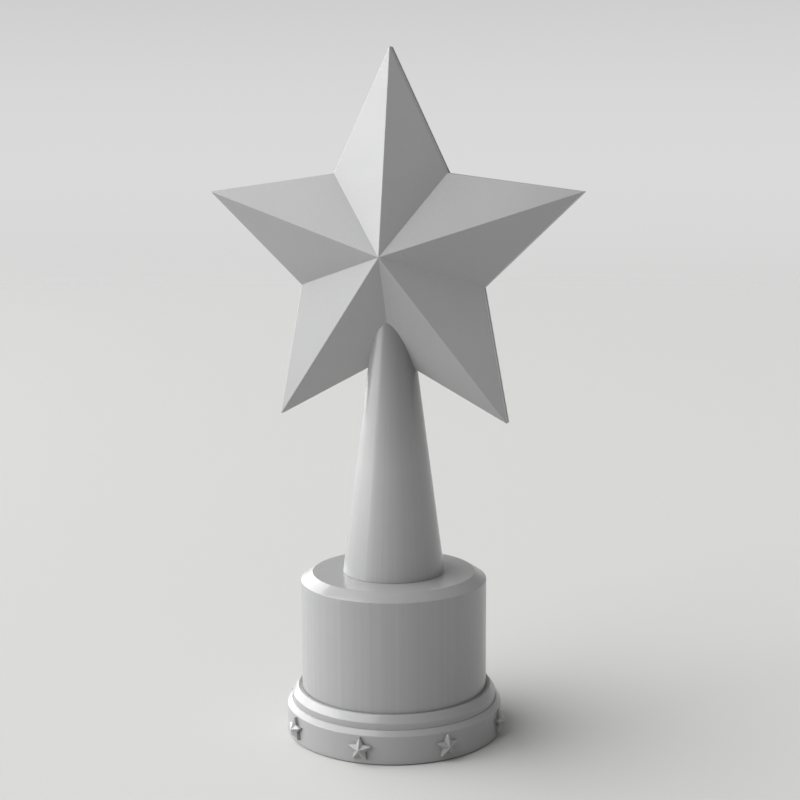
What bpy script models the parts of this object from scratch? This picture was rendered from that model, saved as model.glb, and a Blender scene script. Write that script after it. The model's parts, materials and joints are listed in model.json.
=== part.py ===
# Star trophy: a faceted two-sided star on a tapered column, a weighted drum and a stepped base.
# Metres, +Z up. The star's front looks along -Y, and the felt under the base rests on z = 0.
import math

import bmesh
import bpy
from mathutils import Euler, Matrix, Vector

MM = 0.001
GAP = 0.3 * MM                    # clearance between pieces that touch or fit
ROUND_STEPS = 72                  # facets round the large turned pieces
SMALL_STEPS = 24                  # facets round pins, screws and washers
QUARTER_TURN = math.radians(90)
CREASE_ANGLE = math.radians(20)   # steps between facets of round sides stay below this

# Felt, plate and band at the bottom
FELT_THICKNESS = 1.6 * MM
PLATE_RADIUS = 45.6 * MM
PLATE_BOTTOM = FELT_THICKNESS + GAP
PLATE_THICKNESS = 2.4 * MM
PLATE_TOP = PLATE_BOTTOM + PLATE_THICKNESS
BAND_RADIUS = 48.0 * MM
BAND_SKIRT_RADIUS = 46.0 * MM
BAND_BORE_RADIUS = 30.0 * MM
BAND_BOTTOM = 0.4 * MM
BAND_WALL_TOP = 12.7 * MM
BAND_TOP = 14.3 * MM
BAND_TOP_RADIUS = 46.0 * MM

# Collar and drum
COLLAR_RADIUS = 45.5 * MM
COLLAR_WALL_TOP = 17.4 * MM
COLLAR_TOP = 20.5 * MM
COLLAR_TOP_RADIUS = 43.2 * MM
DRUM_RADIUS = 41.25 * MM
DRUM_WALL = 3.25 * MM
DRUM_WALL_TOP = 68.75 * MM
DRUM_TOP = 72.0 * MM
DRUM_TOP_RADIUS = 36.1 * MM
DRUM_TOP_THICKNESS = 3.0 * MM
DRUM_FOOT_RADIUS = 32.0 * MM
DRUM_FOOT_HEIGHT = 6.0 * MM

# Column: a straight cone that runs on up into the star
COLUMN_WALL = 1.8 * MM
COLUMN_RADIUS_AT_FLOOR = 31.8 * MM      # the cone's outer radius if it reached z = 0
COLUMN_TAPER = 0.1288                   # radius lost for each unit of height
COLUMN_BOTTOM = DRUM_TOP + GAP
COLUMN_TOP = 189.0 * MM
FOOT_BUSH_TOP = 80.0 * MM
TOP_BUSH_BOTTOM = 176.0 * MM
SPIGOT_RADIUS = 12.0 * MM

# Star
STAR_CENTRE = 212.0 * MM
STAR_TIP_RADIUS = 88.0 * MM
STAR_VALLEY_RADIUS = 43.2 * MM
STAR_PEAK = 19.4 * MM                   # centre ridge point in front of the mid-plane
STAR_RIM = 2.4 * MM                     # half of the flat rim's thickness
STAR_WALL = 2.2 * MM
CAVITY_PEAK = 16.8 * MM
STAR_POINTS = 5
PIN_RING_RADIUS = 62.0 * MM
PIN_RADIUS = 1.25 * MM
PIN_HALF_LENGTH = 3.2 * MM
PIN_BOSS_RADIUS = 3.0 * MM
PIN_BOSS_DEPTH = 5.4 * MM

# Core block that joins the star to the tie rod
CORE_BOTTOM = COLUMN_TOP + GAP
CORE_TOP = 216.0 * MM
CORE_RADIUS = 11.0 * MM
CORE_STEM_RADIUS = 6.8 * MM
CORE_STEM_TOP = 197.0 * MM
CORE_HEAD_BOTTOM = 204.0 * MM
LUG_END_X = 20.0 * MM
LUG_BOTTOM = 205.7 * MM
LUG_TOP = 215.7 * MM
LUG_THICKNESS = 4.0 * MM
LUG_SCREW_X = 15.0 * MM
LUG_POST_RADIUS = 2.8 * MM
LUG_POST_END = 12.5 * MM
CORE_SCREW_RADIUS = 1.5 * MM
CORE_SCREW_HEAD_RADIUS = 2.8 * MM
CORE_SCREW_HEAD = 2.0 * MM
CORE_SCREW_END = 9.6 * MM
OVERRUN = 1.0 * MM                      # how far a cutter runs past the face it opens

# Tie rod, its hardware and the ballast that it clamps
ROD_RADIUS = 3.0 * MM
ROD_HOLE_RADIUS = ROD_RADIUS + GAP
ROD_BOTTOM = 5.6 * MM
ROD_TOP = 208.0 * MM
NUT_BOTTOM = 7.0 * MM
NUT_HEIGHT = 5.0 * MM
NUT_ACROSS_FLATS = 10.0 * MM
SPRING_WASHER_RADIUS = 5.6 * MM
SPRING_WASHER_HEIGHT = 1.4 * MM
SPRING_WASHER_SLOT = 1.2 * MM
WASHER_RADIUS = 9.0 * MM
WASHER_HEIGHT = 1.6 * MM
BALLAST_RADIUS = 31.4 * MM
BALLAST_HEIGHT = 30.0 * MM
BALLAST_BEVEL = 1.5 * MM
SPACER_RADIUS = 6.0 * MM
SPACER_FLANGE_RADIUS = 16.0 * MM
SPACER_FLANGE_HEIGHT = 3.0 * MM

# Screws that hold the plate and the band to the drum's foot
PLATE_SCREWS = 4
PLATE_SCREW_RING = 36.0 * MM
PLATE_SCREW_RADIUS = 2.0 * MM
PLATE_SCREW_HEAD_RADIUS = 3.6 * MM
PLATE_SCREW_HEAD = 1.6 * MM
PLATE_SCREW_END = 19.5 * MM

# Small stars round the band
BADGES = 8
BADGE_CENTRE = 6.4 * MM
BADGE_TIP_RADIUS = 5.3 * MM
BADGE_VALLEY_RADIUS = 2.7 * MM
BADGE_PEAK = 2.9 * MM
BADGE_RIM = 1.0 * MM
BADGE_PEG_RADIUS = 1.2 * MM
BADGE_PEG_LENGTH = 6.0 * MM


def clear_scene():
    for obj in list(bpy.data.objects):
        bpy.data.objects.remove(obj, do_unlink=True)


def new_collection(name):
    collection = bpy.data.collections.new(name)
    bpy.context.scene.collection.children.link(collection)
    return collection


def new_material(name, colour, roughness, metallic):
    material = bpy.data.materials.new(name)
    material.use_nodes = True
    shader = material.node_tree.nodes["Principled BSDF"]
    shader.inputs["Base Color"].default_value = (*colour, 1.0)
    shader.inputs["Roughness"].default_value = roughness
    shader.inputs["Metallic"].default_value = metallic
    material.diffuse_color = (*colour, 1.0)
    return material


clear_scene()
PARTS = new_collection("star_trophy")
CUTTERS = new_collection("cutters")
LACQUER = new_material("grey_lacquer", (0.58, 0.58, 0.58), 0.35, 0.0)
STEEL = new_material("zinc_plated_steel", (0.62, 0.63, 0.65), 0.35, 1.0)
IRON = new_material("cast_iron", (0.12, 0.12, 0.13), 0.7, 1.0)
ZINC = new_material("die_cast_zinc", (0.42, 0.43, 0.45), 0.5, 1.0)
FELT = new_material("charcoal_felt", (0.05, 0.05, 0.055), 0.95, 0.0)


def add_object(name, mesh, material=None):
    """A part where a material is given, otherwise a cutter or a shape to be joined on."""
    obj = bpy.data.objects.new(name, mesh)
    if material is None:
        CUTTERS.objects.link(obj)
        obj.hide_render = True
        obj.display_type = "WIRE"
    else:
        PARTS.objects.link(obj)
        mesh.materials.append(material)
    return obj


def boolean(target, tool, operation):
    modifier = target.modifiers.new(f"{operation.lower()}_{tool.name}", "BOOLEAN")
    modifier.operation = operation
    modifier.solver = "EXACT"
    modifier.object = tool


def turned(name, profile, material=None, steps=ROUND_STEPS, closed=True):
    """Profile points (radius, z) turned round Z; an open profile starts and ends on the axis."""
    mesh = bpy.data.meshes.new(name)
    points = [(radius, 0.0, height) for radius, height in profile]
    edges = [(i, i + 1) for i in range(len(points) - 1)]
    if closed:
        edges.append((len(points) - 1, 0))
    mesh.from_pydata(points, edges, [])
    obj = add_object(name, mesh, material)
    screw = obj.modifiers.new("turn", "SCREW")
    screw.axis = "Z"
    screw.steps = steps
    screw.render_steps = steps
    screw.use_merge_vertices = True
    screw.merge_threshold = 0.01 * MM
    screw.use_smooth_shade = False
    return obj


def cylinders(name, places, material=None, steps=SMALL_STEPS):
    """Cylinders or cones joined in one mesh: each place is (centre, axis, radii, length)."""
    bm = bmesh.new()
    for centre, axis, (start_radius, end_radius), length in places:
        turn = Vector((0, 0, 1)).rotation_difference(Vector(axis)).to_matrix().to_4x4()
        bmesh.ops.create_cone(
            bm, cap_ends=True, segments=steps, radius1=start_radius, radius2=end_radius,
            depth=length, matrix=Matrix.Translation(centre) @ turn)
    mesh = bpy.data.meshes.new(name)
    bm.to_mesh(mesh)
    bm.free()
    return add_object(name, mesh, material)


def block(name, low, high):
    """A box from its lowest to its highest corner, used as a cutter or joined on."""
    low, high = Vector(low), Vector(high)
    bm = bmesh.new()
    matrix = Matrix.Translation((low + high) / 2) @ Matrix.Diagonal((*(high - low), 1.0))
    bmesh.ops.create_cube(bm, size=1.0, matrix=matrix)
    mesh = bpy.data.meshes.new(name)
    bm.to_mesh(mesh)
    bm.free()
    return add_object(name, mesh)


def between(start, end, radius, end_radius=None):
    """A cylinder's place from its two end points, as cylinders() wants it."""
    start, end = Vector(start), Vector(end)
    along = end - start
    radii = (radius, radius if end_radius is None else end_radius)
    return ((start + end) / 2, along.normalized(), radii, along.length)


def star_solid(name, tip_radius, valley_radius, peak, rim, material=None):
    """Star pyramid on a straight rim: back on z = 0, top point towards +Y, peak towards +Z."""
    bm = bmesh.new()
    cone = bmesh.ops.create_cone(
        bm, cap_ends=True, segments=2 * STAR_POINTS, radius1=tip_radius, radius2=0.0,
        depth=peak - rim, matrix=Matrix.Translation((0, 0, (peak + rim) / 2)))
    bmesh.ops.remove_doubles(bm, verts=cone["verts"], dist=0.01 * MM)
    step = math.pi / STAR_POINTS
    for vert in bm.verts:
        if round(math.atan2(vert.co.x, vert.co.y) / step) % 2 and vert.co.z < peak - 0.01 * MM:
            vert.co.xy *= valley_radius / tip_radius
    back = min(bm.faces, key=lambda face: face.calc_center_median().z)
    extruded = bmesh.ops.extrude_face_region(bm, geom=[back])
    for element in extruded["geom"]:
        if isinstance(element, bmesh.types.BMVert):
            element.co.z -= rim
    bmesh.ops.delete(bm, geom=[back], context="FACES_ONLY")
    bmesh.ops.recalc_face_normals(bm, faces=bm.faces)
    mesh = bpy.data.meshes.new(name)
    bm.to_mesh(mesh)
    bm.free()
    return add_object(name, mesh, material)


def face_outward(obj, turn, distance, height):
    """Stands a star solid up with its peak pointing away from the Z axis, turned from -Y."""
    obj.rotation_euler = Euler((QUARTER_TURN, 0.0, turn))
    obj.location = (distance * math.sin(turn), -distance * math.cos(turn), height)


def column_radius(height):
    return COLUMN_RADIUS_AT_FLOOR - COLUMN_TAPER * height


def arm_point(index, radius, depth):
    """A point on the axis of one star arm, counted clockwise from the top one."""
    angle = 2 * math.pi * index / STAR_POINTS
    return (radius * math.sin(angle), depth, STAR_CENTRE + radius * math.cos(angle))


def build_star_shell(name, side):
    """One half of the star; side is -1 for the front and +1 for the rear."""
    tip_angle = math.atan2(
        STAR_VALLEY_RADIUS * math.sin(math.pi / STAR_POINTS),
        STAR_TIP_RADIUS - STAR_VALLEY_RADIUS * math.cos(math.pi / STAR_POINTS))
    cavity_tip = STAR_TIP_RADIUS - STAR_WALL / math.sin(tip_angle)
    cavity_valley = STAR_VALLEY_RADIUS - STAR_WALL / math.sin(tip_angle + math.pi / STAR_POINTS)
    turn = 0.0 if side < 0 else math.pi

    shell = star_solid(name, STAR_TIP_RADIUS, STAR_VALLEY_RADIUS, STAR_PEAK - GAP / 2,
                       STAR_RIM - GAP / 2, LACQUER)
    face_outward(shell, turn, GAP / 2, STAR_CENTRE)
    cavity = star_solid(name + "_cavity", cavity_tip, cavity_valley, CAVITY_PEAK + OVERRUN, OVERRUN)
    face_outward(cavity, turn, -OVERRUN, STAR_CENTRE)
    boolean(shell, cavity, "DIFFERENCE")

    bosses = []
    holes = []
    for i in range(STAR_POINTS):
        boss_foot = arm_point(i, PIN_RING_RADIUS, side * GAP)
        boss_root = arm_point(i, PIN_RING_RADIUS, side * PIN_BOSS_DEPTH)
        bosses.append(between(boss_foot, boss_root, PIN_BOSS_RADIUS))
        hole_mouth = arm_point(i, PIN_RING_RADIUS, -side * OVERRUN)
        hole_end = arm_point(i, PIN_RING_RADIUS, side * (PIN_HALF_LENGTH + GAP))
        holes.append(between(hole_mouth, hole_end, PIN_RADIUS + GAP))
    if side > 0:
        post_start = LUG_THICKNESS / 2 + GAP
        for x in (-LUG_SCREW_X, LUG_SCREW_X):
            post_foot = (x, post_start, STAR_CENTRE)
            post_root = (x, LUG_POST_END, STAR_CENTRE)
            bosses.append(between(post_foot, post_root, LUG_POST_RADIUS))
            hole_mouth = (x, post_start - OVERRUN, STAR_CENTRE)
            hole_end = (x, CORE_SCREW_END + GAP, STAR_CENTRE)
            holes.append(between(hole_mouth, hole_end, CORE_SCREW_RADIUS + GAP))
    boolean(shell, cylinders(name + "_bosses", bosses), "UNION")
    boolean(shell, cylinders(name + "_holes", holes), "DIFFERENCE")

    low = STAR_CENTRE - STAR_VALLEY_RADIUS - 10 * OVERRUN
    high = COLUMN_TOP + GAP / 2
    socket = turned(name + "_socket", [
        (0.0, high), (column_radius(high) + GAP, high),
        (column_radius(low) + GAP, low), (0.0, low)], closed=False)
    boolean(shell, socket, "DIFFERENCE")


def build_star_pins():
    for i in range(STAR_POINTS):
        pin = between(arm_point(i, PIN_RING_RADIUS, -PIN_HALF_LENGTH),
                      arm_point(i, PIN_RING_RADIUS, PIN_HALF_LENGTH), PIN_RADIUS)
        cylinders(f"star_pin_{i + 1}", [pin], STEEL)


def build_star_core():
    core = turned("star_core", [
        (0.0, CORE_TOP), (CORE_RADIUS, CORE_TOP), (CORE_RADIUS, CORE_HEAD_BOTTOM),
        (CORE_STEM_RADIUS, CORE_STEM_TOP), (CORE_STEM_RADIUS, CORE_BOTTOM),
        (ROD_HOLE_RADIUS, CORE_BOTTOM), (ROD_HOLE_RADIUS, ROD_TOP + GAP), (0.0, ROD_TOP + GAP)],
        ZINC, steps=SMALL_STEPS, closed=False)
    for side in (-1, 1):
        inner_x, outer_x = sorted((side * CORE_RADIUS / 2, side * LUG_END_X))
        lug = block("star_core_lug", (inner_x, -LUG_THICKNESS / 2, LUG_BOTTOM),
                    (outer_x, LUG_THICKNESS / 2, LUG_TOP))
        boolean(core, lug, "UNION")
    holes = []
    for x in (-LUG_SCREW_X, LUG_SCREW_X):
        front, rear = (x, -LUG_THICKNESS, STAR_CENTRE), (x, LUG_THICKNESS, STAR_CENTRE)
        holes.append(between(front, rear, CORE_SCREW_RADIUS + GAP))
    boolean(core, cylinders("star_core_holes", holes), "DIFFERENCE")


def build_core_screws():
    for i, x in enumerate((-LUG_SCREW_X, LUG_SCREW_X)):
        seat = -LUG_THICKNESS / 2 - GAP
        screw = turned(f"core_screw_{i + 1}", [
            (0.0, CORE_SCREW_HEAD), (CORE_SCREW_HEAD_RADIUS, CORE_SCREW_HEAD),
            (CORE_SCREW_HEAD_RADIUS, 0.0), (CORE_SCREW_RADIUS, 0.0),
            (CORE_SCREW_RADIUS, seat - CORE_SCREW_END), (0.0, seat - CORE_SCREW_END)],
            STEEL, steps=SMALL_STEPS, closed=False)
        screw.location = (x, seat, STAR_CENTRE)
        screw.rotation_euler = (QUARTER_TURN, 0.0, 0.0)


def build_column():
    inner_bottom = column_radius(COLUMN_BOTTOM) - COLUMN_WALL
    inner_top = column_radius(COLUMN_TOP) - COLUMN_WALL
    turned("column_shell", [
        (column_radius(COLUMN_TOP), COLUMN_TOP), (column_radius(COLUMN_BOTTOM), COLUMN_BOTTOM),
        (inner_bottom, COLUMN_BOTTOM), (inner_top, COLUMN_TOP)], LACQUER)

    def plug_radius(height):
        return column_radius(height) - COLUMN_WALL - GAP

    turned("column_top_bush", [
        (plug_radius(COLUMN_TOP), COLUMN_TOP), (plug_radius(TOP_BUSH_BOTTOM), TOP_BUSH_BOTTOM),
        (ROD_HOLE_RADIUS, TOP_BUSH_BOTTOM), (ROD_HOLE_RADIUS, COLUMN_TOP)],
        ZINC, steps=SMALL_STEPS)
    spigot_bottom = DRUM_TOP - DRUM_TOP_THICKNESS
    turned("column_foot_bush", [
        (plug_radius(FOOT_BUSH_TOP), FOOT_BUSH_TOP), (plug_radius(COLUMN_BOTTOM), COLUMN_BOTTOM),
        (SPIGOT_RADIUS, COLUMN_BOTTOM), (SPIGOT_RADIUS, spigot_bottom),
        (ROD_HOLE_RADIUS, spigot_bottom), (ROD_HOLE_RADIUS, FOOT_BUSH_TOP)], ZINC, steps=48)


def plate_screw_points(height):
    for i in range(PLATE_SCREWS):
        angle = math.radians(45) + 2 * math.pi * i / PLATE_SCREWS
        yield (PLATE_SCREW_RING * math.cos(angle), PLATE_SCREW_RING * math.sin(angle), height)


def plate_screw_holes(name, low, high, radius=PLATE_SCREW_RADIUS + GAP, low_radius=None):
    """Cutters on the screw circle, wider at the bottom where a countersink is wanted."""
    starts = plate_screw_points(low)
    places = [between(start, (start[0], start[1], high), low_radius or radius, radius)
              for start in starts]
    return cylinders(name, places)


def build_drum():
    bottom = BAND_TOP + GAP
    inner = DRUM_RADIUS - DRUM_WALL
    foot_top = bottom + DRUM_FOOT_HEIGHT
    ceiling = DRUM_TOP - DRUM_TOP_THICKNESS
    fillet = 3.0 * MM
    drum = turned("drum_shell", [
        (SPIGOT_RADIUS + GAP, DRUM_TOP), (DRUM_TOP_RADIUS, DRUM_TOP), (DRUM_RADIUS, DRUM_WALL_TOP),
        (DRUM_RADIUS, bottom), (DRUM_FOOT_RADIUS, bottom), (DRUM_FOOT_RADIUS, foot_top),
        (inner, foot_top + fillet), (inner, ceiling - fillet), (inner - fillet, ceiling),
        (SPIGOT_RADIUS + GAP, ceiling)], LACQUER)
    holes = plate_screw_holes("drum_screw_holes", bottom - OVERRUN, PLATE_SCREW_END + GAP)
    boolean(drum, holes, "DIFFERENCE")


def build_band():
    ceiling = PLATE_TOP + GAP
    band = turned("base_band", [
        (BAND_BORE_RADIUS, BAND_TOP), (BAND_TOP_RADIUS, BAND_TOP), (BAND_RADIUS, BAND_WALL_TOP),
        (BAND_RADIUS, BAND_BOTTOM), (BAND_SKIRT_RADIUS, BAND_BOTTOM), (BAND_SKIRT_RADIUS, ceiling),
        (BAND_BORE_RADIUS, ceiling)], LACQUER)
    boolean(band, plate_screw_holes("band_screw_holes", ceiling - OVERRUN, BAND_TOP + OVERRUN),
            "DIFFERENCE")
    peg_end = BAND_RADIUS + GAP - BADGE_PEG_LENGTH - 2 * GAP
    pegs = []
    for i in range(BADGES):
        angle = 2 * math.pi * i / BADGES
        outward = Vector((math.sin(angle), -math.cos(angle), 0.0))
        rise = Vector((0.0, 0.0, BADGE_CENTRE))
        pegs.append(between(outward * peg_end + rise, outward * (BAND_RADIUS + OVERRUN) + rise,
                            BADGE_PEG_RADIUS + GAP))
    boolean(band, cylinders("band_peg_holes", pegs, steps=12), "DIFFERENCE")


def build_collar():
    bore = DRUM_RADIUS + GAP
    bottom = BAND_TOP + GAP
    turned("base_collar", [
        (bore, COLLAR_TOP), (COLLAR_TOP_RADIUS, COLLAR_TOP), (COLLAR_RADIUS, COLLAR_WALL_TOP),
        (COLLAR_RADIUS, bottom), (bore, bottom)], LACQUER)


def build_badges():
    for i in range(BADGES):
        badge = star_solid(f"base_star_{i + 1}", BADGE_TIP_RADIUS, BADGE_VALLEY_RADIUS,
                           BADGE_PEAK, BADGE_RIM, LACQUER)
        peg = cylinders(f"base_star_{i + 1}_peg", [
            between((0, 0, -BADGE_PEG_LENGTH), (0, 0, BADGE_RIM / 2), BADGE_PEG_RADIUS)], steps=12)
        for obj in (badge, peg):
            face_outward(obj, i * 2 * math.pi / BADGES, BAND_RADIUS + GAP, BADGE_CENTRE)
        boolean(badge, peg, "UNION")


def build_plate():
    plate = turned("base_plate", [
        (0.0, PLATE_TOP), (PLATE_RADIUS, PLATE_TOP), (PLATE_RADIUS, PLATE_BOTTOM),
        (0.0, PLATE_BOTTOM)], STEEL, closed=False)
    boolean(plate, plate_screw_holes("plate_holes", PLATE_BOTTOM + OVERRUN, PLATE_TOP + OVERRUN),
            "DIFFERENCE")
    slope = (PLATE_SCREW_HEAD_RADIUS - PLATE_SCREW_RADIUS) / PLATE_SCREW_HEAD
    mouth = PLATE_SCREW_HEAD_RADIUS + GAP + slope * OVERRUN
    sinks = plate_screw_holes("plate_countersinks", PLATE_BOTTOM - OVERRUN,
                              PLATE_BOTTOM + PLATE_SCREW_HEAD, low_radius=mouth)
    boolean(plate, sinks, "DIFFERENCE")
    length = PLATE_SCREW_END - PLATE_BOTTOM
    for i, centre in enumerate(plate_screw_points(PLATE_BOTTOM)):
        screw = turned(f"base_plate_screw_{i + 1}", [
            (0.0, length), (PLATE_SCREW_RADIUS, length), (PLATE_SCREW_RADIUS, PLATE_SCREW_HEAD),
            (PLATE_SCREW_HEAD_RADIUS, 0.0), (0.0, 0.0)], STEEL, steps=SMALL_STEPS, closed=False)
        screw.location = centre


def build_felt():
    turned("felt_pad", [
        (0.0, FELT_THICKNESS), (PLATE_RADIUS, FELT_THICKNESS), (PLATE_RADIUS, 0.0), (0.0, 0.0)],
        FELT, closed=False)


def build_rod_and_ballast():
    cylinders("tie_rod", [between((0, 0, ROD_BOTTOM), (0, 0, ROD_TOP), ROD_RADIUS)], STEEL)

    nut_radius = NUT_ACROSS_FLATS / 2 / math.cos(math.pi / 6)
    nut = cylinders("rod_nut", [
        between((0, 0, NUT_BOTTOM), (0, 0, NUT_BOTTOM + NUT_HEIGHT), nut_radius)], STEEL, steps=6)
    bore = between((0, 0, NUT_BOTTOM - OVERRUN), (0, 0, NUT_BOTTOM + NUT_HEIGHT + OVERRUN),
                   ROD_HOLE_RADIUS)
    boolean(nut, cylinders("rod_nut_bore", [bore]), "DIFFERENCE")

    base = NUT_BOTTOM + NUT_HEIGHT + GAP
    bore_radius = ROD_HOLE_RADIUS + 0.1 * MM
    spring = turned("rod_spring_washer", [
        (SPRING_WASHER_RADIUS, base + SPRING_WASHER_HEIGHT), (SPRING_WASHER_RADIUS, base),
        (bore_radius, base), (bore_radius, base + SPRING_WASHER_HEIGHT)], STEEL, steps=SMALL_STEPS)
    slot = block("spring_washer_slot", (-SPRING_WASHER_SLOT / 2, 0.0, base - OVERRUN),
                 (SPRING_WASHER_SLOT / 2, 2 * SPRING_WASHER_RADIUS,
                  base + SPRING_WASHER_HEIGHT + OVERRUN))
    boolean(spring, slot, "DIFFERENCE")

    base += SPRING_WASHER_HEIGHT + GAP
    turned("rod_washer", [
        (WASHER_RADIUS, base + WASHER_HEIGHT), (WASHER_RADIUS, base),
        (ROD_HOLE_RADIUS, base), (ROD_HOLE_RADIUS, base + WASHER_HEIGHT)], STEEL, steps=SMALL_STEPS)

    base += WASHER_HEIGHT + GAP
    top = base + BALLAST_HEIGHT
    turned("ballast", [
        (bore_radius, top), (BALLAST_RADIUS - BALLAST_BEVEL, top),
        (BALLAST_RADIUS, top - BALLAST_BEVEL), (BALLAST_RADIUS, base + BALLAST_BEVEL),
        (BALLAST_RADIUS - BALLAST_BEVEL, base), (bore_radius, base)], IRON, steps=48)

    base = top + GAP
    top = DRUM_TOP - DRUM_TOP_THICKNESS - GAP
    flange = top - SPACER_FLANGE_HEIGHT
    turned("ballast_spacer", [
        (SPACER_FLANGE_RADIUS, top), (SPACER_FLANGE_RADIUS, flange), (SPACER_RADIUS, flange),
        (SPACER_RADIUS, base), (bore_radius, base), (bore_radius, top)], STEEL, steps=SMALL_STEPS)


def finish_meshes():
    """Applies the modifiers, then shades round sides smooth and keeps real corners crisp."""
    depsgraph = bpy.context.evaluated_depsgraph_get()
    finished = {}
    for obj in PARTS.objects:
        finished[obj] = bpy.data.meshes.new_from_object(obj.evaluated_get(depsgraph))
    for obj, mesh in finished.items():
        obj.modifiers.clear()
        obj.data = mesh
        mesh.name = obj.name
        mesh.shade_smooth()
        mesh.set_sharp_from_angle(angle=CREASE_ANGLE)


build_star_shell("star_front_shell", -1)
build_star_shell("star_rear_shell", 1)
build_star_pins()
build_star_core()
build_core_screws()
build_column()
build_drum()
build_band()
build_collar()
build_badges()
build_plate()
build_felt()
build_rod_and_ballast()
finish_meshes()
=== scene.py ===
# Star trophy, dressed for its portrait. Metres, +Z up, the star's front looks along -Y.
import json
import math

import bmesh
import bpy
from mathutils import Matrix, Vector, noise


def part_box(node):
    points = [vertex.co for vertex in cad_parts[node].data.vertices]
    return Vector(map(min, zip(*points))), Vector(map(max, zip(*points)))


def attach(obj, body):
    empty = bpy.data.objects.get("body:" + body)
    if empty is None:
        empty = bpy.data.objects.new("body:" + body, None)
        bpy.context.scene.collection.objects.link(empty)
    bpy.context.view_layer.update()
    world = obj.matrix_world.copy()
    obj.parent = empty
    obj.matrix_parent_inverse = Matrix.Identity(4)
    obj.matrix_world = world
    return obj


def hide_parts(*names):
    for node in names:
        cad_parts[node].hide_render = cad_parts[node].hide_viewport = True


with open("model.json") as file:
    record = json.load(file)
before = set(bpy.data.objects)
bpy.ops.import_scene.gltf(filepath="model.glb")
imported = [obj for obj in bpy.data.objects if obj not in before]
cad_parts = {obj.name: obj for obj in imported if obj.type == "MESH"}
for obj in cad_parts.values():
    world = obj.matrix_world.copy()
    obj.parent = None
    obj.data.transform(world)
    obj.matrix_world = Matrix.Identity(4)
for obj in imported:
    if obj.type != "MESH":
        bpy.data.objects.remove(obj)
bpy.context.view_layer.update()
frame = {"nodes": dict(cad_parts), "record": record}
mm = 0.001
sameSpot = 0.001 * mm     # points nearer than this are one point


# sRGB hex, as on a paint chart, to the linear values that shaders take
def linear(hexColour):
    channels = []
    for start in (1, 3, 5):
        value = int(hexColour[start:start + 2], 16) / 255
        channels.append(value / 12.92 if value <= 0.04045 else ((value + 0.055) / 1.055) ** 2.4)
    return (*channels, 1.0)


# one node with its settings; an input, by name or number, takes a value or another node's socket
def addNode(tree, kind, inputs=None, **settings):
    node = tree.nodes.new(kind)
    for key, value in settings.items():
        setattr(node, key, value)
    for key, value in (inputs or {}).items():
        if isinstance(value, bpy.types.NodeSocket):
            tree.links.new(value, node.inputs[key])
        else:
            node.inputs[key].default_value = value
    return node


def newMaterial(name):
    material = bpy.data.materials.new(name)
    material.use_nodes = True
    material.node_tree.nodes.clear()
    return material, material.node_tree


# Sprayed two-coat lacquer on a polished zinc casting: an even light grey under a clear coat,
# so it shows soft broad shading with a thin sharp reflection on top, strongest at the limbs.
lacquerLook = {
    "grey": "#959595",
    "cloudGrey": "#8f8f90",
    "edgeGrey": "#a7a7a6",
    # dust and painted shade in the corners between pieces
    "creviceDustShadeGrey": "#7a7a79",
    "cloudSize": 38 * mm,
    "peelSize": 1.3 * mm,        # orange peel of the sprayed coat
    "peelHeight": 0.0045 * mm,
    "swellSize": 17 * mm,        # slow swell left by hand polishing
    "swellHeight": 0.03 * mm,
    "nibSpacing": 11 * mm,       # rare dust nibs caught in the coat
    "nibSize": 0.28 * mm,
    "nibHeight": 0.008 * mm,
    "smearSize": 22 * mm,        # cloth smears change the gloss a little
    "smoothest": 0.27,
    "roughest": 0.40,
    "clearCoat": 0.35,
    "streaksRound": 95,          # streaks round a turned piece, left by the polishing belt
    "streaksTo": 0.3,            # how far a wall may lean before they fade, and where they end
    "streaksGone": 0.6,
    "cornerFrom": 0.52,          # pointiness where a corner starts to count as worn, and ends
    "cornerTo": 0.60,
    "cornerShare": 0.35,
    "creviceReach": 5 * mm,
    "creviceFrom": 0.2,          # openness where the dust and painted shade are at their most, and where they end
    "creviceTo": 0.7,
    "creviceShare": 0.25,
    "columnShadeFrom": 0.42,             # share of the column's height where the painted shade starts to deepen
    # painted shade at the top of the column, under the star
    "columnShadeGrey": "#6a6a6a",
    # painted shade for the star's broad valleys
    "valleyShadeGrey": "#606060",
    "valleyReach": 34 * mm,
    "valleyFrom": 0.78,          # openness where the painted valley shade is at its deepest
}


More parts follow.
